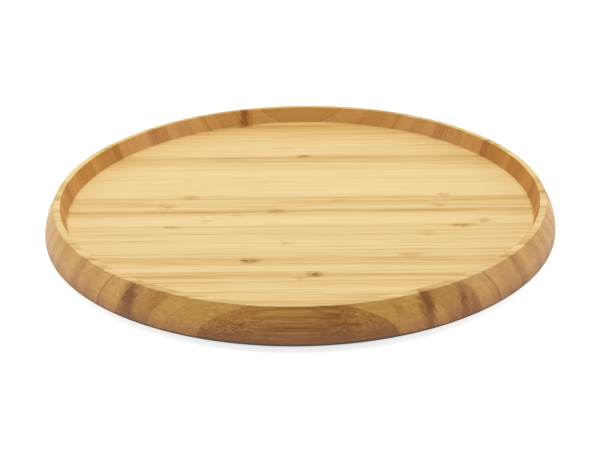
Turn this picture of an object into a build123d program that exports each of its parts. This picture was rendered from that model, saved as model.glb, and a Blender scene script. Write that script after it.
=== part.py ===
from build123d import *

# Lazy susan turntable: a dished bamboo tray that spins on a flat ball bearing over a low bamboo disc.
#
# The spin axis is Z and the table top is the plane z = 0, under the feet. Sizes are in millimetres.
# The disc hides in a pocket under the tray. Steel balls in a moulded cage run between two pressed
# steel races, and a central stud with a thin nut keeps tray and disc together when they are lifted.

import os
from math import cos, pi, radians, tan

# ---- Tray ----
tray_diameter = 390.0  # across the widest line of the flared edge
edge_flare = 8.2  # how far the edge leans out between the rim and its widest line
flare_angle = 29.5  # lean of the edge's upper part, from vertical
flare_radius = 26.0  # curve that turns the lean into the upright foot of the edge
edge_bottom_radius = 2.0
edge_clearance = 4.0  # from the table up to the underside of the edge
rim_width = 5.0  # flat top of the rim
corner_radius = 0.6  # sanded corners of the rim and of the pocket's mouth
dish_depth = 14.0
dish_lean = 3.4  # how much wider the dish is at the rim than at its floor
dish_corner_radius = 1.2
floor_thickness = 5.0  # bamboo between the dish and the pocket

# ---- Base disc and feet ----
disc_diameter = 256.0
disc_thickness = 5.0
disc_edge_radius = 1.0
pocket_side_gap = 4.0  # between the disc and the wall of the tray's pocket
foot_count = 6
foot_diameter = 18.0
foot_stand_off = 2.5  # rubber that shows under the disc
foot_socket_depth = 1.5
foot_edge_radius = 0.8
foot_edge_margin = 7.0  # from a foot to the disc's edge

# ---- Ball bearing ----
running_gap = 1.5  # between the disc and the roof of the tray's pocket
ball_diameter = 5.0
ball_count = 16
groove_clearance = 0.1  # between a ball and its groove
race_sheet = 0.8  # steel of the pressed races
race_width = 12.0
race_foot_margin = 2.0  # from a race to the feet
cage_width = 14.0
cage_side_gap = 0.25  # above and below the cage
cage_pocket_clearance = 0.15  # round a ball
cage_web = 6.0  # between a ball's pocket and the window next to it
cage_window_width = 5.0

# ---- Central pivot ----
stud_diameter = 5.0
stud_head_diameter = 12.0
stud_head_thickness = 1.0
stud_end_chamfer = 0.5
stud_past_nut = 0.3  # how far the stud's end stands out of the nut
plate_diameter = 48.0
plate_thickness = 1.2
screw_count = 4
screw_circle_diameter = 34.0
screw_diameter = 2.8
screw_head_diameter = 5.0
screw_cover = 1.0  # bamboo left over the points of the screws
screw_point_length = 1.2
screw_slot_length = 2.6
screw_slot_width = 0.7
screw_slot_depth = 0.6
bush_wall = 1.8
bush_flange_diameter = 16.0
bush_flange_thickness = 0.6
thrust_washer_diameter = 16.0
steel_washer_diameter = 10.0
steel_washer_thickness = 1.0
nut_across_flats = 8.0
nut_height = 2.7
nut_chamfer_angle = 30.0
well_diameter = 20.0  # room for a socket around the nut
well_depth = 2.6

# ---- Fits ----
seat_gap = 0.05  # round a piece that is pressed, screwed or glued into a seat
bore_clearance = 0.08  # between the stud and the pieces that it passes through
end_play = 0.1  # between pieces that slide on each other along the axis

# ---- Heights over the table ----
disc_bottom = foot_stand_off
disc_top = disc_bottom + disc_thickness
pocket_roof = disc_top + running_gap
dish_floor = pocket_roof + floor_thickness
rim_top = dish_floor + dish_depth
ball_height = disc_top + running_gap / 2
plate_top = pocket_roof + plate_thickness
well_roof = disc_bottom + well_depth
bush_flange_top = disc_top + bush_flange_thickness
nut_top = well_roof - end_play - steel_washer_thickness
nut_bottom = nut_top - nut_height
stud_end = nut_bottom - stud_past_nut

# ---- Radii ----
tray_radius = tray_diameter / 2
rim_outer_radius = tray_radius - edge_flare
rim_inner_radius = rim_outer_radius - rim_width
dish_floor_radius = rim_inner_radius - dish_lean
disc_radius = disc_diameter / 2
pocket_radius = disc_radius + pocket_side_gap
foot_radius = foot_diameter / 2
foot_circle_radius = disc_radius - foot_edge_margin - foot_radius
ball_circle_radius = foot_circle_radius - foot_radius - race_foot_margin - race_width / 2
ball_radius = ball_diameter / 2
groove_radius = ball_radius + groove_clearance
cage_pocket_radius = ball_radius + cage_pocket_clearance
stud_radius = stud_diameter / 2
bore_radius = stud_radius + bore_clearance
bush_radius = bore_radius + bush_wall
screw_radius = screw_diameter / 2
screw_hole_radius = screw_radius + seat_gap
screw_head_radius = screw_head_diameter / 2
screw_circle_radius = screw_circle_diameter / 2
nut_flat_radius = nut_across_flats / 2
nut_corner_radius = nut_flat_radius / cos(radians(30))

os.makedirs("parts", exist_ok=True)

# ---- Sections shared by the races and their channels ----
# A race is a flat ring of sheet steel with a round groove pressed into the middle of it. Both
# sections are drawn for the upper race, which faces down; the lower is its mirror image.
ball_plane = Plane.XY.offset(ball_height)
upwards = (Align.CENTER, Align.MIN)

with BuildSketch(Plane.XZ) as race_section:
    with Locations((ball_circle_radius, pocket_roof)):
        Rectangle(race_width, race_sheet, align=upwards)
    with Locations((ball_circle_radius, ball_height)):
        Circle(groove_radius + race_sheet)
    with Locations((ball_circle_radius, pocket_roof)):
        Rectangle(race_width, ball_diameter, align=upwards, mode=Mode.INTERSECT)
    with Locations((ball_circle_radius, ball_height)):
        Circle(groove_radius, mode=Mode.SUBTRACT)

with BuildSketch(Plane.XZ) as channel_section:
    with Locations((ball_circle_radius, pocket_roof)):
        Rectangle(race_width + 2 * seat_gap, race_sheet, align=upwards)
    with Locations((ball_circle_radius, ball_height)):
        Circle(groove_radius + race_sheet + seat_gap)

# ---- Tray ----
# Turned from one board of glued bamboo strips: a shallow dish above, a pocket for the disc below.
knee_height = rim_top - edge_flare / tan(radians(flare_angle))
upright_height = knee_height - edge_clearance - edge_bottom_radius
knee_radius = min(flare_radius, 0.95 * upright_height / tan(radians(flare_angle / 2)))
rounded_corners = [
    (tray_radius, knee_height, knee_radius),
    (tray_radius, edge_clearance, edge_bottom_radius),
    (rim_outer_radius, rim_top, corner_radius),
    (rim_inner_radius, rim_top, corner_radius),
    (dish_floor_radius, dish_floor, dish_corner_radius),
    (pocket_radius, edge_clearance, corner_radius),
]

with BuildPart() as tray:
    with BuildSketch(Plane.XZ) as tray_section:
        with BuildLine():
            Polyline(
                (0, pocket_roof),
                (pocket_radius, pocket_roof),
                (pocket_radius, edge_clearance),
                (tray_radius, edge_clearance),
                (tray_radius, knee_height),
                (rim_outer_radius, rim_top),
                (rim_inner_radius, rim_top),
                (dish_floor_radius, dish_floor),
                (0, dish_floor),
                close=True,
            )
        make_face()
        for across, height, radius in rounded_corners:
            sharp_corner = tray_section.vertices().sort_by_distance((across, height, 0))[0]
            fillet(sharp_corner, radius)
    revolve(axis=Axis.Z)
    # Channel for the upper race, in the pocket's roof.
    revolve(channel_section.sketch, axis=Axis.Z, mode=Mode.SUBTRACT)
    # Stepped seat for the pivot plate and, above it, the stud's head.
    with BuildSketch(Plane.XY.offset(pocket_roof)):
        Circle(plate_diameter / 2 + seat_gap)
    extrude(amount=plate_thickness, mode=Mode.SUBTRACT)
    with BuildSketch(Plane.XY.offset(plate_top)):
        Circle(stud_head_diameter / 2 + seat_gap)
    extrude(amount=stud_head_thickness, mode=Mode.SUBTRACT)
    # Holes that the plate's screws bite into.
    with BuildSketch(Plane.XY.offset(plate_top)):
        with PolarLocations(screw_circle_radius, screw_count):
            Circle(screw_hole_radius)
    extrude(amount=floor_thickness - plate_thickness - screw_cover, mode=Mode.SUBTRACT)
tray.part.label = "tray"
export_step(tray.part, "parts/tray.step")

# ---- Upper race ----
# Pressed into the roof of the tray's pocket, flush with the bamboo.
with BuildPart() as upper_race:
    revolve(race_section.sketch, axis=Axis.Z)
upper_race.part.label = "upper_race"
export_step(upper_race.part, "parts/upper_race.step")

# ---- Pivot plate ----
# A steel disc that holds the stud's head against the tray, countersunk for its screws from below.
plate_face = Plane(origin=(0, 0, pocket_roof), x_dir=(1, 0, 0), z_dir=(0, 0, -1))
with BuildPart() as pivot_plate:
    with BuildSketch(Plane.XY.offset(pocket_roof)):
        Circle(plate_diameter / 2)
        Circle(stud_radius, mode=Mode.SUBTRACT)
    extrude(amount=plate_thickness)
    with Locations(plate_face):
        with PolarLocations(screw_circle_radius, screw_count):
            CounterSinkHole(
                screw_hole_radius, screw_head_radius, plate_thickness, counter_sink_angle=90
            )
pivot_plate.part.label = "pivot_plate"
export_step(pivot_plate.part, "parts/pivot_plate.step")

# ---- Pivot plate screws ----
# Short countersunk wood screws with crossed slots, heads down and flush with the plate.
screw_length = floor_thickness - screw_cover
with BuildPart() as one_screw:
    with BuildSketch(Plane.XZ):
        with BuildLine():
            Polyline(
                (0, 0),
                (screw_head_radius, 0),
                (screw_radius, screw_head_radius - screw_radius),
                (screw_radius, screw_length - screw_point_length),
                (0, screw_length),
                close=True,
            )
        make_face()
    revolve(axis=Axis.Z)
    with BuildSketch(Plane.XY):
        Rectangle(screw_slot_length, screw_slot_width)
        Rectangle(screw_slot_width, screw_slot_length)
    extrude(amount=screw_slot_depth, mode=Mode.SUBTRACT)

with BuildPart() as pivot_plate_screws:
    with Locations((0, 0, pocket_roof)):
        with PolarLocations(screw_circle_radius, screw_count):
            add(one_screw.part)
pivot_plate_screws.part.label = "pivot_plate_screws"
export_step(pivot_plate_screws.part, "parts/pivot_plate_screws.step")

# ---- Pivot stud ----
# The tray turns on it. Its flat head is trapped between the plate and the bamboo.
with BuildPart() as pivot_stud:
    with BuildSketch(Plane.XY.offset(plate_top)):
        Circle(stud_head_diameter / 2)
    extrude(amount=stud_head_thickness)
    with BuildSketch(Plane.XY.offset(stud_end)):
        Circle(stud_radius)
    extrude(amount=plate_top - stud_end)
    chamfer(pivot_stud.edges().group_by(Axis.Z)[0], stud_end_chamfer)
pivot_stud.part.label = "pivot_stud"
export_step(pivot_stud.part, "parts/pivot_stud.step")

# ---- Thrust washer ----
# A slippery plastic washer between the plate and the bush's flange.
thrust_washer_bottom = bush_flange_top + end_play
with BuildPart() as thrust_washer:
    with BuildSketch(Plane.XY.offset(thrust_washer_bottom)):
        Circle(thrust_washer_diameter / 2)
        Circle(bore_radius, mode=Mode.SUBTRACT)
    extrude(amount=pocket_roof - thrust_washer_bottom)
thrust_washer.part.label = "thrust_washer"
export_step(thrust_washer.part, "parts/thrust_washer.step")

# ---- Steel washer ----
# Under the bush, between it and the nut.
with BuildPart() as steel_washer:
    with BuildSketch(Plane.XY.offset(nut_top)):
        Circle(steel_washer_diameter / 2)
        Circle(bore_radius, mode=Mode.SUBTRACT)
    extrude(amount=steel_washer_thickness)
steel_washer.part.label = "steel_washer"
export_step(steel_washer.part, "parts/steel_washer.step")

# ---- Thin nut ----
# A hexagon nut, both faces bevelled at the corners, tight on the stud's thread.
nut_bevel = (nut_corner_radius - nut_flat_radius) * tan(radians(nut_chamfer_angle))
with BuildPart() as thin_nut:
    with BuildSketch(Plane.XY.offset(nut_bottom)):
        RegularPolygon(nut_flat_radius, 6, major_radius=False)
    extrude(amount=nut_height)
    with BuildSketch(Plane.XZ):
        with BuildLine():
            Polyline(
                (0, nut_bottom),
                (nut_flat_radius, nut_bottom),
                (nut_corner_radius, nut_bottom + nut_bevel),
                (nut_corner_radius, nut_top - nut_bevel),
                (nut_flat_radius, nut_top),
                (0, nut_top),
                close=True,
            )
        make_face()
    revolve(axis=Axis.Z, mode=Mode.INTERSECT)
    with BuildSketch(Plane.XY.offset(nut_bottom)):
        Circle(stud_radius)
    extrude(amount=nut_height, mode=Mode.SUBTRACT)
thin_nut.part.label = "thin_nut"
export_step(thin_nut.part, "parts/thin_nut.step")

# ---- Base disc ----
# The bamboo disc that stands still: channel for the lower race above, sockets and a well below.
with BuildPart() as base_disc:
    with BuildSketch(Plane.XY.offset(disc_bottom)):
        Circle(disc_radius)
    extrude(amount=disc_thickness)
    fillet(base_disc.edges().filter_by(GeomType.CIRCLE), disc_edge_radius)
    lower_channel = mirror(channel_section.sketch, about=ball_plane, mode=Mode.PRIVATE)
    revolve(lower_channel, axis=Axis.Z, mode=Mode.SUBTRACT)
    with BuildSketch(Plane.XY.offset(disc_bottom)):
        with PolarLocations(foot_circle_radius, foot_count):
            Circle(foot_radius + seat_gap)
    extrude(amount=foot_socket_depth, mode=Mode.SUBTRACT)
    with BuildSketch(Plane.XY.offset(disc_bottom)):
        Circle(well_diameter / 2)
    extrude(amount=well_depth, mode=Mode.SUBTRACT)
    with BuildSketch(Plane.XY.offset(disc_bottom)):
        Circle(bush_radius + seat_gap)
    extrude(amount=disc_thickness, mode=Mode.SUBTRACT)
base_disc.part.label = "base_disc"
export_step(base_disc.part, "parts/base_disc.step")

# ---- Lower race ----
# Pressed into the top of the disc, facing the upper one.
with BuildPart() as lower_race:
    mirror(upper_race.part, about=ball_plane)
lower_race.part.label = "lower_race"
export_step(lower_race.part, "parts/lower_race.step")

# ---- Pivot bush ----
# A flanged plastic sleeve pressed through the disc, in which the stud turns.
with BuildPart() as pivot_bush:
    with BuildSketch(Plane.XY.offset(well_roof)):
        Circle(bush_radius)
    extrude(amount=disc_top - well_roof)
    with BuildSketch(Plane.XY.offset(disc_top)):
        Circle(bush_flange_diameter / 2)
    extrude(amount=bush_flange_thickness)
    with Locations((0, 0, bush_flange_top)):
        Hole(bore_radius)
pivot_bush.part.label = "pivot_bush"
export_step(pivot_bush.part, "parts/pivot_bush.step")

# ---- Rubber feet ----
# Soft pads glued into the disc's sockets, rounded where they meet the table.
foot_places = PolarLocations(foot_circle_radius, foot_count).locations
for number, place in enumerate(foot_places, start=1):
    with BuildPart() as rubber_foot:
        with BuildSketch(Plane.XY):
            with Locations(place):
                Circle(foot_radius)
        extrude(amount=foot_stand_off + foot_socket_depth)
        fillet(rubber_foot.edges().group_by(Axis.Z)[0], foot_edge_radius)
    rubber_foot.part.label = f"rubber_foot_{number}"
    export_step(rubber_foot.part, f"parts/rubber_foot_{number}.step")

# ---- Ball cage ----
# The moulded ring that keeps the balls apart, with a window between each two pockets.
ball_spacing = 2 * pi * ball_circle_radius / ball_count
cage_window_length = ball_spacing - 2 * (cage_pocket_radius + cage_web)
with BuildPart() as ball_cage:
    with BuildSketch(Plane.XY.offset(disc_top + cage_side_gap)):
        Circle(ball_circle_radius + cage_width / 2)
        Circle(ball_circle_radius - cage_width / 2, mode=Mode.SUBTRACT)
        with PolarLocations(ball_circle_radius, ball_count):
            Circle(cage_pocket_radius, mode=Mode.SUBTRACT)
        with PolarLocations(ball_circle_radius, ball_count, start_angle=180 / ball_count):
            SlotOverall(cage_window_length, cage_window_width, rotation=90, mode=Mode.SUBTRACT)
    extrude(amount=running_gap - 2 * cage_side_gap)
ball_cage.part.label = "ball_cage"
export_step(ball_cage.part, "parts/ball_cage.step")

# ---- Balls ----
# Loose steel balls, one in each pocket of the cage.
ball_places = PolarLocations(ball_circle_radius, ball_count).locations
for number, place in enumerate(ball_places, start=1):
    with BuildPart(ball_plane) as ball:
        with Locations(place):
            Sphere(ball_radius)
    ball.part.label = f"ball_{number:02d}"
    export_step(ball.part, f"parts/ball_{number:02d}.step")
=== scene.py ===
from math import acos, cos, radians, sin, tan

import bpy
from mathutils import Matrix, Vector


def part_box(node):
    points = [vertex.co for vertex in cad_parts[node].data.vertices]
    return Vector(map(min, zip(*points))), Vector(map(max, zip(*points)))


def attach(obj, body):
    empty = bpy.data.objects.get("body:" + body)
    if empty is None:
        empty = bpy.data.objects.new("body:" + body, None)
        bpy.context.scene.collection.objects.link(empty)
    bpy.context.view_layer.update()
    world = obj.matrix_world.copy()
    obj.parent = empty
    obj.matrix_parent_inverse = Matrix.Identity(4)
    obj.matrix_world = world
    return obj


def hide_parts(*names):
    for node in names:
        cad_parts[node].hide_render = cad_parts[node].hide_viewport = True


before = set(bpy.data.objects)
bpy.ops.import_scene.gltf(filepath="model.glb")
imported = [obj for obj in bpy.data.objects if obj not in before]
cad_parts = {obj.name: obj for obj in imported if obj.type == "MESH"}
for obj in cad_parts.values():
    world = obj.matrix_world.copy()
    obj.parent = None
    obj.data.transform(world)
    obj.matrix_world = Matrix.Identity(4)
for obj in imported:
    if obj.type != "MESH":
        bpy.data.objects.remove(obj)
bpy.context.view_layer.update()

# ---- Camera and studio -------------------------------------------------------------------------
# A short telephoto from the front, looking down on the tray at about 26 degrees, over a pale
# floor, with one large soft light overhead, one behind like a bright backdrop and two weaker ones
# at the sides.
mm = 0.001
scene = bpy.context.scene
scene.view_settings.view_transform = "Standard"

camera_place = (0.0097, -0.6923, 0.3269)
camera_turn = radians(0.82)
camera_tilt = radians(64.21)
camera_roll = radians(-0.93)
bpy.ops.object.camera_add()
camera = bpy.context.object
camera.data.lens = 58.27
camera.data.sensor_width = 36.0
camera.matrix_world = (
    Matrix.Translation(camera_place)
    @ Matrix.Rotation(camera_turn, 4, "Z")
    @ Matrix.Rotation(camera_tilt, 4, "X")
    @ Matrix.Rotation(camera_roll, 4, "Z")
)
scene.camera = camera


def linear(hex_colour):
    """Turns an sRGB hex colour such as "#E8C88A" into the linear colour that a shader takes."""
    channels = [int(hex_colour[place:place + 2], 16) / 255 for place in (1, 3, 5)]
    powers = [c / 12.92 if c <= 0.04045 else ((c + 0.055) / 1.055) ** 2.4 for c in channels]
    return (*powers, 1.0)


def add_node(tree, kind, inputs=(), **settings):
    """Adds one shader node. Its inputs go by order or by name, and are values or other outputs."""
    made = tree.nodes.new("ShaderNode" + kind)
    for name, value in settings.items():
        setattr(made, name, value)
    sockets = inputs if isinstance(inputs, dict) else dict(enumerate(inputs))
    for socket, value in sockets.items():
        if isinstance(value, bpy.types.NodeSocket):
            tree.links.new(value, made.inputs[socket])
        else:
            made.inputs[socket].default_value = value
    return made.outputs


def fill_ramp(ramp, stops):
    """Gives a colour ramp its stops, each a position and a colour."""
    while len(ramp.elements) < len(stops):
        ramp.elements.new(1.0)
    for element, (position, colour) in zip(ramp.elements, stops):
        element.position = position
        element.color = colour


def new_material(name):
    """An empty material, its node tree and its output node's surface socket."""
    made = bpy.data.materials.new(name)
    made.use_nodes = True
    made.node_tree.nodes.clear()
    output = made.node_tree.nodes.new("ShaderNodeOutputMaterial")
    return made, made.node_tree, output.inputs["Surface"]


soft_lights = [
    # place, aimed at the tray's middle; width and depth in metres; power in watts
    ((-0.04, 0.25, 1.45), (1.9, 1.5), 20.8),
    ((0.0, 1.60, 0.70), (3.0, 1.4), 6.0),
    ((-1.5, -0.1, 0.55), (1.0, 0.9), 4.4),
    ((1.5, -0.1, 0.55), (1.0, 0.9), 5.2),
]
for place, (width, depth), power in soft_lights:
    bpy.ops.object.light_add(type="AREA", location=place)
    light = bpy.context.object
    light.data.shape = "RECTANGLE"
    light.data.size = width
    light.data.size_y = depth
    light.data.energy = power
    light.rotation_euler = (-light.location).to_track_quat("-Z", "Y").to_euler()

world = bpy.data.worlds.new("studio")
scene.world = world
world.use_nodes = True
world.node_tree.nodes["Background"].inputs["Color"].default_value = linear("#FFFFFF")
world.node_tree.nodes["Background"].inputs["Strength"].default_value = 0.22

# The table is white and glows evenly so that it looks bright, but the glow is masked off under the
# tray's edge: a painted shadow in the narrow gap below the tray's edge.
bpy.ops.mesh.primitive_plane_add(size=40.0)
floor = bpy.context.object
floor.name = "floor"
floor_paper, tree, surface = new_material("white_paper")
coordinates = add_node(tree, "TexCoord")
from_middle = add_node(tree, "VectorMath", [coordinates["Object"]], operation="LENGTH")["Value"]
painted_shadow_radius, glow_radius = 0.182, 0.189
glow_with_painted_shadow = add_node(tree, "MapRange", [from_middle, painted_shadow_radius, glow_radius, 0.0, 0.79])[0]
paper = add_node(tree, "BsdfPrincipled", {
    "Base Color": linear("#C4C4C4"),
    "Roughness": 0.9,
    "Emission Color": linear("#FFFFFF"),
    "Emission Strength": glow_with_painted_shadow,
})
tree.links.new(paper[0], surface)
floor.data.materials.append(floor_paper)

# ---- Tray --------------------------------------------------------------------------------------
# One board of bamboo strips set on edge and glued face to face, turned to a shallow dish with a
# flared edge, sanded and given a clear satin lacquer. It hides the bearing in a pocket below.
tray_low, tray_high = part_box("tray")
tray_radius = tray_high[0]
rim_top = tray_high[2]
edge_bottom = tray_low[2]
edge_flare = 8.2 * mm
rim_width = 5.0 * mm
dish_lean = 3.4 * mm
dish_depth = 14.0 * mm
dish_floor = rim_top - dish_depth
pocket_gap = 4.0 * mm
pocket_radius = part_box("base_disc")[1][0] + pocket_gap
pocket_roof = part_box("pivot_plate")[0][2]
rim_outer = tray_radius - edge_flare
rim_inner = rim_outer - rim_width
dish_radius = rim_inner - dish_lean
flare_angle = radians(29.5)
knee_height = rim_top - edge_flare / tan(flare_angle)

# The seats of the upper race, the pivot plate and the stud's head, each with a small gap round it.
seat_gap = 0.05 * mm
race_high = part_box("upper_race")[1]
ball_low, ball_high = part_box("ball_01")
ball_circle = (ball_low.xy + ball_high.xy).length / 2
ball_height = (ball_low.z + ball_high.z) / 2
race_outer = race_high.x + seat_gap
race_inner = 2 * ball_circle - race_outer
race_sheet = 0.8 * mm
channel_roof = pocket_roof + race_sheet
groove_radius = race_high.z - ball_height + seat_gap
groove_facets = 8
plate_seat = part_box("pivot_plate")[1].x + seat_gap
plate_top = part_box("pivot_plate")[1].z
head_radius = 6.0 * mm
head_seat = head_radius + seat_gap
head_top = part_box("pivot_stud")[1].z


def pressed_arc(radius, face_height, way, facets):
    """The rings of one side of the ball groove, from a flat face up and back down to it."""
    half_angle = acos((face_height - ball_height) / radius)
    for step in range(facets + 1):
        angle = way * half_angle * (1 - 2 * step / facets)
        yield ball_circle + radius * sin(angle), ball_height + radius * cos(angle)


rings = [
    (dish_radius, dish_floor),
    (rim_inner, rim_top),
    (rim_outer, rim_top),
    (tray_radius, knee_height),
    (tray_radius, edge_bottom),
    (pocket_radius, edge_bottom),
    (pocket_radius, pocket_roof),
    (race_outer, pocket_roof),
    (race_outer, channel_roof),
    *pressed_arc(groove_radius, channel_roof, 1, groove_facets),
    (race_inner, channel_roof),
    (race_inner, pocket_roof),
    (plate_seat, pocket_roof),
    (plate_seat, plate_top),
    (head_seat, plate_top),
    (head_seat, head_top),
]


def turn(name, rings, segments=360):
    """A turned skin: a circle extruded from ring to ring. It is left open, in edit mode, with its
    last ring selected. A ring is a radius and a height."""
    bpy.ops.object.select_all(action="DESELECT")
    bpy.ops.mesh.primitive_circle_add(
        vertices=segments, radius=rings[0][0], location=(0, 0, rings[0][1]), fill_type="NOTHING"
    )
    turned = bpy.context.object
    turned.name = name
    bpy.ops.object.transform_apply(location=True, rotation=True, scale=True)
    bpy.ops.object.mode_set(mode="EDIT")
    bpy.ops.mesh.select_mode(type="EDGE")
    bpy.ops.mesh.select_all(action="SELECT")
    for (radius, height), (next_radius, next_height) in zip(rings, rings[1:]):
        bpy.ops.mesh.extrude_region_move(
            TRANSFORM_OT_translate={"value": (0, 0, next_height - height)}
        )
        growth = next_radius / radius
        bpy.ops.transform.resize(value=(growth, growth, 1), center_override=(0, 0, 0))
    return turned


tray = turn("bamboo_tray", rings)
bpy.ops.mesh.edge_face_add()


def select_ring(thing, radius, height):
    """Selects the edges of a turned piece that lie on one circle about the spin axis."""
    near = 0.01 * mm
    bpy.ops.mesh.select_mode(type="EDGE")
    bpy.ops.mesh.select_all(action="DESELECT")
    bpy.ops.object.mode_set(mode="OBJECT")
    places = [vertex.co for vertex in thing.data.vertices]
    on_ring = [
        abs(place.xy.length - radius) < near and abs(place.z - height) < near
        for place in places
    ]
    for edge in thing.data.edges:
        first, second = edge.vertices
        edge.select = on_ring[first] and on_ring[second]
    bpy.ops.object.mode_set(mode="EDIT")


select_ring(tray, dish_radius, dish_floor)
bpy.ops.mesh.edge_face_add()
flare_radius = 26.0 * mm
rounded_rings = [
    # radius and height of the sharp corner, length of the rounding along each face, its facets
    (tray_radius, knee_height, flare_radius * tan(flare_angle / 2), 12),
    (tray_radius, edge_bottom, 2.0 * mm, 8),
    (rim_outer, rim_top, 0.45 * mm, 5),
    (rim_inner, rim_top, 0.6 * mm, 5),
    (dish_radius, dish_floor, 0.9 * mm, 6),
    (pocket_radius, edge_bottom, 0.6 * mm, 4),
]
for radius, height, offset, segments in rounded_rings:
    select_ring(tray, radius, height)
    bpy.ops.mesh.bevel(offset=offset, offset_type="OFFSET", segments=segments, profile=0.5)


def close_turned():
    """Closes the seams of a turned piece, points its faces outwards and shades it smooth."""
    bpy.ops.mesh.select_all(action="SELECT")
    bpy.ops.mesh.remove_doubles(threshold=0.001 * mm)
    bpy.ops.mesh.normals_make_consistent(inside=False)
    bpy.ops.object.mode_set(mode="OBJECT")
    bpy.ops.object.shade_smooth_by_angle(angle=radians(40))


close_turned()


def millimetres(tree):
    """The place of a point on the object in millimetres."""
    coordinates = add_node(tree, "TexCoord")
    return add_node(
        tree, "VectorMath", {0: coordinates["Object"], "Scale": 1 / mm}, operation="SCALE"
    )[0]


def grain(tree, place, size, detail=2.0):
    """A soft noise whose grains measure size in millimetres along each axis, from 0 to 1."""
    scaled = add_node(tree, "Mapping", {0: place, "Scale": [1 / side for side in size]})[0]
    return add_node(tree, "TexNoise", {0: scaled, "Scale": 1.0, "Detail": detail})["Fac"]


# Bamboo under satin lacquer: straw colour with a fine straight fibre. The strips come from several
# stalks, so each has its own tone; their broad faces and cut ends are browner than their edges.
strip_width = 7.25
first_joint = -184.8
board_width = 400.0
side_tone = 0.27
strip_offset = 53.0  # moves the fibres along from one strip to the next, so that no two are alike
bamboo_tones = [
    (0.0, "#EFD496"), (0.25, "#E9C885"), (0.5, "#D3A955"), (0.75, "#B5823C"), (1.0, "#8A581C"),
]
board_tones = [
    # place across the board in millimetres, tone of the strips there
    (-186, 0.26), (-160, 0.40), (-148, 0.32), (-140, 0.10), (-132, 0.34), (-127, 0.20),
    (-124, 0.50), (-115, 0.15), (-109, 0.14), (-101, 0.44), (-95, 0.30), (-76, 0.12),
    (-50, 0.26), (-47, 0.34), (-42, 0.00), (-29, 0.18), (-20, 0.50), (-15, 0.26),
    (7, 0.32), (11, 0.08), (44, 0.10), (54, 0.02), (60, 0.22), (75, 0.27),
    (79, 0.42), (84, 0.26), (89, 0.44), (97, 0.21), (118, 0.18), (148, 0.37),
    (169, 0.52), (180, 0.30),
]
glue_lines = [
    # place across the board and strength of the few that show
    (-144.5, 0.26), (157.5, 0.22), (125, 0.14), (107, 0.12), (-176.5, 0.10),
]
stalk_nodes = [
    # place along and across the board, half length and half width of the mark, strength
    (4, 92, 7, 4, 0.44), (-17, -20, 7, 4, 0.36), (114, 8, 7, 6, 0.26), (-85, 7, 8, 6, 0.22),
    (-102, -12, 7, 6, 0.24), (-70, -37, 6, 4, 0.40), (138, -39, 7, 6, 0.40),
    (120, -48, 9, 5, 0.36), (-33, -101, 8, 5, 0.48), (11, -121, 6, 5, 0.58),
    (2, -127, 6, 4, 0.20), (107, -12, 7, 5, 0.20), (32, -1, 8, 6, 0.14), (-29, 36, 8, 5, 0.16),
    (-94, -47, 7, 4, 0.28), (-47, -28, 6, 5, 0.18), (-8, -75, 7, 5, 0.20), (78, -93, 9, 5, 0.22),
    (-17, 112, 9, 4, 0.16), (93, -60, 8, 5, 0.18), (-107, -158, 7, 6, 0.52),
    (-88, -169, 7, 4, 0.12), (80, -173, 7, 5, 0.66), (62, -180, 3, 3, 0.16),
    (104, -161, 4, 4, 0.42), (110, -157, 7, 4, 0.16), (144, -125, 5, 4, 0.12),
    (-53, 173, 7, 9, 0.50), (-133, 124, 8, 7, 0.18), (140, 116, 8, 8, 0.14),
    (22, -188, 16, 8, 0.14),
]
tray_bamboo, tree, surface = new_material("lacquered_bamboo")
place = millimetres(tree)
axes = add_node(tree, "SeparateXYZ", [place])
along, across, up = axes[0], axes[1], axes[2]

# The board's tone from front to back, and each strip's own share of it.
board_ramp = tree.nodes.new("ShaderNodeValToRGB")
fill_ramp(board_ramp.color_ramp, [
    (0.5 + strip_place / board_width, (strip_tone, strip_tone, strip_tone, 1.0))
    for strip_place, strip_tone in board_tones
])
wander = grain(tree, place, (90, 5, 5), detail=1.0)
wander = add_node(tree, "MapRange", [wander, 0.2, 0.8, -1.3, 1.3])[0]
wavy_across = add_node(tree, "Math", [across, wander], operation="ADD")[0]
ramp_place = add_node(tree, "MapRange", [wavy_across, -board_width / 2, board_width / 2])[0]
tree.links.new(ramp_place, board_ramp.inputs[0])

from_joint = add_node(tree, "Math", [across, first_joint], operation="SUBTRACT")[0]
from_joint = add_node(tree, "Math", [from_joint, strip_width], operation="DIVIDE")[0]
strip = add_node(tree, "Math", [from_joint], operation="FLOOR")[0]
in_strip = add_node(tree, "Math", [from_joint], operation="FRACT")[0]
chance = add_node(tree, "TexWhiteNoise", {"W": strip}, noise_dimensions="1D")["Color"]
chance = add_node(tree, "SeparateColor", [chance])

# The face decides the rest. The strips' broad faces, at the front and the back, and their cut ends
# are browner than their edges, and the strips differ less there.
normal = add_node(tree, "TexCoord")["Normal"]
facing = add_node(tree, "VectorMath", [normal, normal], operation="MULTIPLY")[0]
facing = add_node(tree, "SeparateXYZ", [facing])
end_face, broad_face = facing[0], facing[1]
side_face = add_node(tree, "MapRange", [facing[2], 0.8, 0.2])[0]
inwards = add_node(tree, "VectorMath", [normal, place], operation="DOT_PRODUCT")["Value"]
dish_wall = add_node(tree, "MapRange", [inwards, -50.0, -150.0])[0]
front_strip = add_node(tree, "Math", [across, first_joint], operation="LESS_THAN")[0]
front_strip = add_node(tree, "Math", [front_strip, broad_face], operation="MULTIPLY")[0]

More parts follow.
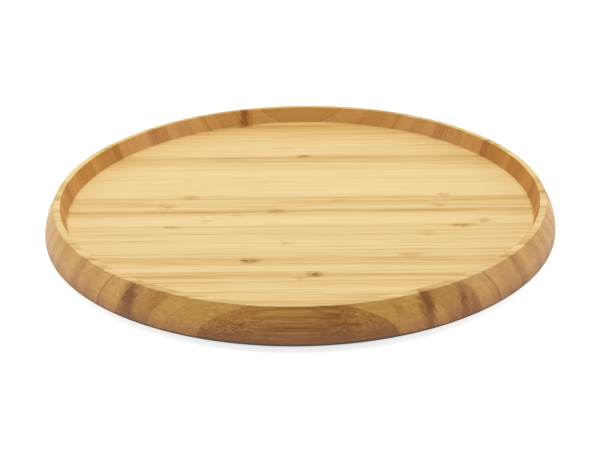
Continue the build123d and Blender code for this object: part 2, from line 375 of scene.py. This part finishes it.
own_share = add_node(tree, "MapRange", [side_face, 0.0, 1.0, 0.10, 0.16])[0]
own_share = add_node(tree, "Math", [dish_wall, 0.12, own_share], operation="MULTIPLY_ADD")[0]
own_tone = add_node(tree, "Math", [chance[0], 0.5], operation="SUBTRACT")[0]
own_tone = add_node(tree, "Math", [own_tone, own_share], operation="MULTIPLY")[0]
side_share = add_node(tree, "MapRange", [dish_wall, 0.0, 1.0, 0.5, 0.8])[0]
side_share = add_node(tree, "Math", [side_face, side_share], operation="MULTIPLY")[0]
tone = add_node(tree, "Mix", {0: side_share, 2: board_ramp.outputs[0], 3: side_tone})[0]
tone = add_node(tree, "Math", [tone, own_tone], operation="ADD")[0]
# The right-hand part of the board is painted a little darker: painted shade, standing for the
# light that falls from the left.
painted_right_shade = add_node(tree, "MapRange", [along, 40.0, 180.0, 0.0, 0.06])[0]
tone = add_node(tree, "Math", [tone, painted_right_shade], operation="ADD")[0]
broad_share = add_node(tree, "MapRange", [dish_wall, 0.0, 1.0, 0.30, 0.01])[0]
end_share = add_node(tree, "MapRange", [dish_wall, 0.0, 1.0, 0.40, 0.36])[0]
for face, share in ((broad_face, broad_share), (end_face, end_share), (front_strip, 0.33)):
    tone = add_node(tree, "Math", [face, share, tone], operation="MULTIPLY_ADD")[0]

# The lower half of the outer edge is painted browner, a painted shade towards the table, and the
# worn rim is browner too.
painted_low_shade = add_node(tree, "MapRange", [up, 15.0, 5.0, 0.0, 0.26])[0]
painted_low_shade = add_node(tree, "Math", [painted_low_shade, side_face], operation="MULTIPLY")[0]
worn_rim = add_node(tree, "MapRange", [up, rim_top / mm - 1.0, rim_top / mm - 0.1, 0.0, 0.06])[0]
tone = add_node(tree, "Math", [tone, painted_low_shade], operation="ADD")[0]
tone = add_node(tree, "Math", [tone, worn_rim], operation="ADD")[0]

# Stalk nodes: brown smudges with ragged ends, where the stalk had its joints.
fibre_noise = grain(tree, place, (4, 1.3, 8), detail=3.0)
raggedness = add_node(tree, "MapRange", [side_face, 0.0, 1.0, 1.0, 0.4])[0]
ragged = add_node(tree, "MapRange", [fibre_noise, 0.3, 0.7, -5.0, 5.0])[0]
ragged = add_node(tree, "Math", [ragged, raggedness], operation="MULTIPLY")[0]
ragged_place = add_node(tree, "CombineXYZ", [ragged])[0]
ragged_place = add_node(tree, "VectorMath", [place, ragged_place], operation="ADD")[0]
node_mark = None
for node_along, node_across, half_length, half_width, strength in stalk_nodes:
    offset = add_node(
        tree, "VectorMath", [ragged_place, (node_along, node_across, 0)], operation="SUBTRACT"
    )[0]
    offset = add_node(
        tree, "VectorMath", [offset, (1 / half_length, 1 / half_width, 0)], operation="MULTIPLY"
    )[0]
    distance = add_node(tree, "VectorMath", [offset], operation="LENGTH")["Value"]
    mark = add_node(
        tree, "MapRange", [distance, 0.0, 1.3, strength, 0.0], interpolation_type="SMOOTHSTEP"
    )[0]
    if node_mark:
        mark = add_node(tree, "Math", [node_mark, mark], operation="MAXIMUM")[0]
    node_mark = mark
least_thread = add_node(tree, "MapRange", [side_face, 0.0, 1.0, 0.45, 0.75])[0]
most_thread = add_node(tree, "MapRange", [side_face, 0.0, 1.0, 1.35, 1.1])[0]
threads = add_node(tree, "MapRange", [fibre_noise, 0.35, 0.65, least_thread, most_thread])[0]
node_tone = add_node(tree, "Math", [node_mark, threads], operation="MULTIPLY")[0]
tone = add_node(tree, "Math", [tone, node_tone], operation="ADD")[0]

# Fibres: long thin streaks that differ from strip to strip and bend round the nodes.
strip_shift = add_node(tree, "Math", [strip, strip_offset, along], operation="MULTIPLY_ADD")[0]
bend = add_node(tree, "Math", [node_mark, 5.0, across], operation="MULTIPLY_ADD")[0]
shifted = add_node(tree, "CombineXYZ", [strip_shift, bend, up])[0]
streak_layers = [
    # length, width and depth of a streak in millimetres, share of the tone
    (30.0, 0.7, 0.7, 0.30),
    (90.0, 1.5, 1.5, 0.55),
    (160.0, 3.0, 3.0, 0.40),
]
streak_strength = add_node(tree, "MapRange", [side_face, 0.0, 1.0, 1.0, 0.3])[0]
front_streaks = add_node(tree, "MapRange", [end_face, 0.004, 0.03, 0.8, 0.1])[0]
streak_strength = add_node(
    tree, "Math", [front_strip, front_streaks, streak_strength], operation="MULTIPLY_ADD"
)[0]
for length, width, depth, share in streak_layers:
    streak = grain(tree, shifted, (length, width, depth), detail=1.0)
    streak = add_node(tree, "Math", [streak, 0.5], operation="SUBTRACT")[0]
    streak = add_node(tree, "Math", [streak, streak_strength], operation="MULTIPLY")[0]
    tone = add_node(tree, "Math", [streak, share, tone], operation="MULTIPLY_ADD")[0]

# Vascular bundles: brown threads, seen as dots where they are cut across.
bundle = add_node(tree, "Mapping", {0: shifted, "Scale": (1 / 2.2, 1 / 0.8, 1 / 1.3)})[0]
bundle = add_node(tree, "TexVoronoi", {0: bundle, "Scale": 1.0})["Distance"]
bundle = add_node(
    tree, "MapRange", [bundle, 0.15, 0.60, 1.0, 0.0], interpolation_type="SMOOTHSTEP"
)[0]
bundle_tone = add_node(tree, "MapRange", [broad_face, 0.0, 1.0, 0.03, 0.12])[0]
bundle_tone = add_node(tree, "Math", [front_strip, 0.13, bundle_tone], operation="MULTIPLY_ADD")[0]
cut_across = add_node(tree, "MapRange", [end_face, 0.002, 0.02, 0.2, 1.0])[0]
bundle_tone = add_node(tree, "Math", [bundle_tone, cut_across], operation="MULTIPLY")[0]
tone = add_node(tree, "Math", [bundle, bundle_tone, tone], operation="MULTIPLY_ADD")[0]

# Glue lines, hair thin, and a few that show.
edge_distance = add_node(tree, "Math", [in_strip, 0.5], operation="SUBTRACT")[0]
edge_distance = add_node(tree, "Math", [edge_distance], operation="ABSOLUTE")[0]
glue_strength = add_node(tree, "MapRange", [dish_wall, 0.0, 1.0, 0.04, 0.16])[0]
glue = add_node(tree, "MapRange", [edge_distance, 0.46, 0.5, 0.0, glue_strength])[0]
for line_place, strength in glue_lines:
    distance = add_node(tree, "Math", [across, line_place], operation="SUBTRACT")[0]
    distance = add_node(tree, "Math", [distance], operation="ABSOLUTE")[0]
    line = add_node(tree, "MapRange", [distance, 0.0, 0.9, strength, 0.0])[0]
    glue = add_node(tree, "Math", [glue, line], operation="MAXIMUM")[0]
tone = add_node(tree, "Math", [tone, glue], operation="ADD")[0]

bamboo_ramp = tree.nodes.new("ShaderNodeValToRGB")
fill_ramp(bamboo_ramp.color_ramp, [(stop, linear(colour)) for stop, colour in bamboo_tones])
tree.links.new(tone, bamboo_ramp.inputs[0])
# The walls take a warm tint, partly their own colour and partly a painted warm bounce light:
# deepest on the dish's inner walls, where light bounces from the dish, and palest on the outer
# walls' cut ends, lit by neutral light.
warmth_and_painted_bounce = add_node(tree, "MapRange", [end_face, 0.3, 1.0, 0.55, 0.15])[0]
warmth_and_painted_bounce = add_node(tree, "Mix", {0: dish_wall, 2: warmth_and_painted_bounce, 3: 0.90})[0]
warmth_and_painted_bounce = add_node(tree, "Math", [warmth_and_painted_bounce, side_face], operation="MULTIPLY")[0]
colour_with_painted_light = add_node(
    tree, "Mix", {0: warmth_and_painted_bounce, 6: bamboo_ramp.outputs[0], 7: linear("#FFE2C4")},
    data_type="RGBA", blend_type="MULTIPLY",
)[2]
# The lowest edge is painted nearly black, a painted shade for the dark gap above the table, most
# of all across the strips' broad faces at the front and the back.
from_sides = add_node(tree, "Math", [across], operation="ABSOLUTE")[0]
painted_edge_shade_share = add_node(tree, "MapRange", [from_sides, 60.0, 190.0, 0.35, 1.0])[0]
painted_edge_shade_low, painted_edge_shade_high = edge_bottom / mm + 1.4, edge_bottom / mm + 3.0
painted_edge_shade = add_node(tree, "MapRange", [up, painted_edge_shade_low, painted_edge_shade_high, painted_edge_shade_share, 0.0])[0]
colour_with_painted_light = add_node(
    tree, "Mix", {0: painted_edge_shade, 6: colour_with_painted_light, 7: linear("#1E1508")}, data_type="RGBA"
)[2]
relief = add_node(
    tree, "Bump", {"Height": tone, "Strength": 0.2, "Distance": 0.1 * mm}, invert=True
)[0]
wood = add_node(tree, "BsdfPrincipled", {
    "Base Color": colour_with_painted_light,
    "Roughness": add_node(tree, "MapRange", [tone, 0.0, 1.0, 0.34, 0.5])[0],
    "IOR": 1.5,
    "Normal": relief,
})
tree.links.new(wood[0], surface)
tray.data.materials.append(tray_bamboo)
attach(tray, "tray")
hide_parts("tray")

# ---- Base disc ---------------------------------------------------------------------------------
# A low disc cut from a plainer board of the same glued bamboo strips, sanded and given a clear
# matt sealer. It stands still in the pocket under the tray, and holds the lower race and the feet.
def give_finish(nodes, material):
    """Gives CAD nodes a material in place of the plain one that they came with."""
    for node in nodes:
        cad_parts[node].data.materials.clear()
        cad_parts[node].data.materials.append(material)


# Straw coloured strips, each with its own tone, with a fine straight fibre and a dull sheen.
sealed_bamboo, tree, surface = new_material("sealed_bamboo")
place = millimetres(tree)
axes = add_node(tree, "SeparateXYZ", [place])
strip = add_node(tree, "Math", [axes[1], strip_width], operation="DIVIDE")[0]
strip = add_node(tree, "Math", [strip], operation="FLOOR")[0]
own_tone = add_node(tree, "TexWhiteNoise", {"W": strip}, noise_dimensions="1D")["Value"]
strip_shift = add_node(tree, "Math", [strip, strip_offset, axes[0]], operation="MULTIPLY_ADD")[0]
shifted = add_node(tree, "CombineXYZ", [strip_shift, axes[1], axes[2]])[0]
tone = add_node(tree, "MapRange", [own_tone, 0.0, 1.0, 0.0, 0.35])[0]
for size, share in (((30, 0.7, 0.7), 0.45), ((120, 2.0, 2.0), 0.45)):
    fibre = grain(tree, shifted, size)
    tone = add_node(tree, "Math", [fibre, share, tone], operation="MULTIPLY_ADD")[0]
tone = add_node(tree, "Math", [tone, 0.25], operation="SUBTRACT")[0]
sealed_ramp = tree.nodes.new("ShaderNodeValToRGB")
fill_ramp(sealed_ramp.color_ramp, [(stop, linear(colour)) for stop, colour in bamboo_tones])
tree.links.new(tone, sealed_ramp.inputs[0])
wood = add_node(tree, "BsdfPrincipled", {
    "Base Color": sealed_ramp.outputs[0],
    "Roughness": add_node(tree, "MapRange", [tone, 0.0, 1.0, 0.50, 0.65])[0],
    "IOR": 1.5,
    "Normal": add_node(
        tree, "Bump", {"Height": tone, "Strength": 0.3, "Distance": 0.1 * mm}, invert=True
    )[0],
})
tree.links.new(wood[0], surface)
give_finish(["base_disc"], sealed_bamboo)

# ---- Ball races --------------------------------------------------------------------------------
# Two flat rings pressed from steel strip, one let into the tray and one into the disc. Each has a
# round groove for the balls. Polished and lightly greased; the balls keep their track bright.
race_edge = race_high.x
race_hole = 2 * ball_circle - race_edge
track_radius = groove_radius - seat_gap - race_sheet
track_facets = 16
upper_section = [
    (race_edge, pocket_roof),
    (race_edge, channel_roof),
    *pressed_arc(track_radius + race_sheet, channel_roof, 1, track_facets),
    (race_hole, channel_roof),
    (race_hole, pocket_roof),
    *pressed_arc(track_radius, pocket_roof, -1, track_facets),
    (race_edge, pocket_roof),
]
lower_section = [(radius, 2 * ball_height - height) for radius, height in upper_section]
races = []
for body, node, section in (
    ("tray", "upper_race", upper_section),
    ("base", "lower_race", lower_section),
):
    race = turn("pressed_" + node, section)
    close_turned()
    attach(race, body)
    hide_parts(node)
    races.append(race)

pressed_steel, tree, surface = new_material("pressed_polished_steel")
place = millimetres(tree)
flat_place = add_node(tree, "VectorMath", [place, (1, 1, 0)], operation="MULTIPLY")[0]
from_axis = add_node(tree, "VectorMath", [flat_place], operation="LENGTH")["Value"]
off_track = add_node(tree, "Math", [from_axis, ball_circle / mm], operation="SUBTRACT")[0]
off_track = add_node(tree, "Math", [off_track], operation="ABSOLUTE")[0]
track = add_node(tree, "MapRange", [off_track, 0.8, 2.0, 1.0, 0.0])[0]
# Polishing leaves fine circles about the axis, a quarter of a millimetre apart.
up = add_node(tree, "SeparateXYZ", [place])[2]
circles = add_node(tree, "CombineXYZ", [from_axis, up])[0]
circles = grain(tree, circles, (0.25, 0.5, 1.0))
grease = grain(tree, place, (9, 9, 3))
dullness = add_node(tree, "MapRange", [grease, 0.3, 0.7, 0.24, 0.42])[0]
dullness = add_node(tree, "Math", [track, -0.14, dullness], operation="MULTIPLY_ADD")[0]
colour = add_node(
    tree, "Mix", {0: track, 6: linear("#A9ABAD"), 7: linear("#C6C8CA")}, data_type="RGBA"
)[2]
steel = add_node(tree, "BsdfPrincipled", {
    "Base Color": colour,
    "Metallic": 1.0,
    "Roughness": dullness,
    "Normal": add_node(
        tree, "Bump", {"Height": circles, "Strength": 0.15, "Distance": 0.02 * mm}
    )[0],
})
tree.links.new(steel[0], surface)
for race in races:
    race.data.materials.append(pressed_steel)

# ---- Balls -------------------------------------------------------------------------------------
# Sixteen loose bearing balls of 5 mm, ground and polished steel under a thin smear of grease.
ball_steel, tree, surface = new_material("polished_bearing_steel")
place = millimetres(tree)
smear = grain(tree, place, (1.6, 1.6, 1.6))
colour = add_node(
    tree, "Mix", {0: smear, 6: linear("#BFC2C5"), 7: linear("#D6D8DA")}, data_type="RGBA"
)[2]
steel = add_node(tree, "BsdfPrincipled", {
    "Base Color": colour,
    "Metallic": 1.0,
    "Roughness": add_node(tree, "MapRange", [smear, 0.3, 0.7, 0.05, 0.16])[0],
})
tree.links.new(steel[0], surface)
balls = [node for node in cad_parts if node.startswith("ball_") and node != "ball_cage"]
give_finish(balls, ball_steel)

# ---- Ball cage ---------------------------------------------------------------------------------
# One flat ring moulded in natural polypropylene that keeps the balls apart: milky, a little
# translucent, with faint flow marks and the fine grain of the mould.
natural_polypropylene, tree, surface = new_material("natural_polypropylene")
place = millimetres(tree)
flow = grain(tree, place, (6, 6, 6))
mould_grain = grain(tree, place, (0.3, 0.3, 0.3))
colour = add_node(
    tree, "Mix", {0: flow, 6: linear("#D6D3C6"), 7: linear("#E4E2D8")}, data_type="RGBA"
)[2]
plastic = add_node(tree, "BsdfPrincipled", {
    "Base Color": colour,
    "Roughness": add_node(tree, "MapRange", [mould_grain, 0.3, 0.7, 0.36, 0.50])[0],
    "IOR": 1.49,
    "Subsurface Weight": 0.2,
    "Subsurface Radius": (1.5 * mm, 1.4 * mm, 1.2 * mm),
    "Subsurface Scale": 1.0,
    "Normal": add_node(
        tree, "Bump", {"Height": mould_grain, "Strength": 0.2, "Distance": 0.02 * mm}
    )[0],
})
tree.links.new(plastic[0], surface)
give_finish(["ball_cage"], natural_polypropylene)

# ---- Pivot plate, stud, washer and nut ---------------------------------------------------------
# Blanked and turned mild steel with bright zinc plating, which holds the tray down to the disc.
# The plate lies flush in the tray, the stud hangs from it and the nut closes it under the disc.
zinc_plate, tree, surface = new_material("bright_zinc_plated_steel")
place = millimetres(tree)
# The plating has faint crystals of about 0.6 mm and cloudy patches of a few millimetres.
crystals = add_node(tree, "TexVoronoi", {0: place, "Scale": 1 / 0.6})["Color"]
crystals = add_node(tree, "SeparateColor", [crystals])[0]
clouds = grain(tree, place, (5, 5, 5))
sheen = add_node(tree, "Math", [crystals, 0.25, clouds], operation="MULTIPLY_ADD")[0]
colour = add_node(
    tree, "Mix", {0: sheen, 6: linear("#ABAFB4"), 7: linear("#C9CCCE")}, data_type="RGBA"
)[2]
steel = add_node(tree, "BsdfPrincipled", {
    "Base Color": colour,
    "Metallic": 1.0,
    "Roughness": add_node(tree, "MapRange", [sheen, 0.2, 0.9, 0.26, 0.44])[0],
    "Normal": add_node(
        tree, "Bump", {"Height": clouds, "Strength": 0.1, "Distance": 0.02 * mm}
    )[0],
})
tree.links.new(steel[0], surface)
give_finish(["pivot_plate", "pivot_stud", "steel_washer", "thin_nut"], zinc_plate)

# ---- Pivot plate screws ------------------------------------------------------------------------
# Four short countersunk wood screws with a plain slot, zinc plated like the plate but rubbed down
# to grey steel inside the slots, where the driver turned them.
worn_zinc, tree, surface = new_material("worn_zinc_plated_screws")
place = millimetres(tree)
up = add_node(tree, "SeparateXYZ", [place])[2]
head_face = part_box("pivot_plate_screws")[0].z / mm
slot_depth = 0.6
wear = add_node(tree, "MapRange", [up, head_face + 0.1, head_face + slot_depth, 0.0, 1.0])[0]
scratches = grain(tree, place, (0.4, 0.4, 0.4))
colour = add_node(
    tree, "Mix", {0: wear, 6: linear("#B7BABE"), 7: linear("#85878A")}, data_type="RGBA"
)[2]
steel = add_node(tree, "BsdfPrincipled", {
    "Base Color": colour,
    "Metallic": 1.0,
    "Roughness": add_node(tree, "MapRange", [scratches, 0.3, 0.7, 0.28, 0.50])[0],
    "Normal": add_node(
        tree, "Bump", {"Height": scratches, "Strength": 0.2, "Distance": 0.03 * mm}
    )[0],
})
tree.links.new(steel[0], surface)
give_finish(["pivot_plate_screws"], worn_zinc)

# ---- Pivot bush and thrust washer --------------------------------------------------------------
# The two plastic wearing parts between stud and disc: a flanged sleeve moulded in natural nylon,
# creamy and waxy, and a washer stamped from white acetal sheet, whiter and harder.
wearing_parts = [
    # node, material, colours, dullest and shiniest, grain in millimetres
    ("pivot_bush", "natural_nylon", "#DDD6BE", "#EAE5D3", (0.34, 0.46), 0.5),
    ("thrust_washer", "white_acetal", "#E4E4DC", "#F1F1EB", (0.22, 0.34), 0.8),
]
for node, name, low_colour, high_colour, (shiniest, dullest), grain_size in wearing_parts:
    plain_plastic, tree, surface = new_material(name)
    place = millimetres(tree)
    rubbed = grain(tree, place, (grain_size, grain_size, grain_size))
    colour = add_node(
        tree, "Mix", {0: rubbed, 6: linear(low_colour), 7: linear(high_colour)}, data_type="RGBA"
    )[2]
    plastic = add_node(tree, "BsdfPrincipled", {
        "Base Color": colour,
        "Roughness": add_node(tree, "MapRange", [rubbed, 0.3, 0.7, shiniest, dullest])[0],
        "IOR": 1.5,
        "Subsurface Weight": 0.15,
        "Subsurface Radius": (1.0 * mm, 1.0 * mm, 0.8 * mm),
        "Subsurface Scale": 1.0,
    })
    tree.links.new(plastic[0], surface)
    give_finish([node], plain_plastic)

# ---- Rubber feet -------------------------------------------------------------------------------
# Six soft pads moulded in dark rubber and glued into sockets in the disc. They are matt, with a
# fine grain from the mould, and paler where they rub on the table.
dark_rubber, tree, surface = new_material("moulded_dark_rubber")
place = millimetres(tree)
up = add_node(tree, "SeparateXYZ", [place])[2]
rubber_grain = grain(tree, place, (0.35, 0.35, 0.35))
dust = grain(tree, place, (4, 4, 4))
rubbed_face = add_node(tree, "MapRange", [up, 0.6, 0.0, 0.15, 0.75])[0]
rubbed_face = add_node(tree, "Math", [rubbed_face, dust], operation="MULTIPLY")[0]
colour = add_node(
    tree, "Mix", {0: rubbed_face, 6: linear("#262626"), 7: linear("#5A5852")}, data_type="RGBA"
)[2]
rubber = add_node(tree, "BsdfPrincipled", {
    "Base Color": colour,
    "Roughness": add_node(tree, "MapRange", [rubber_grain, 0.3, 0.7, 0.62, 0.80])[0],
    "IOR": 1.52,
    "Normal": add_node(
        tree, "Bump", {"Height": rubber_grain, "Strength": 0.4, "Distance": 0.05 * mm}
    )[0],
})
tree.links.new(rubber[0], surface)
feet = [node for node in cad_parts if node.startswith("rubber_foot_")]
give_finish(feet, dark_rubber)
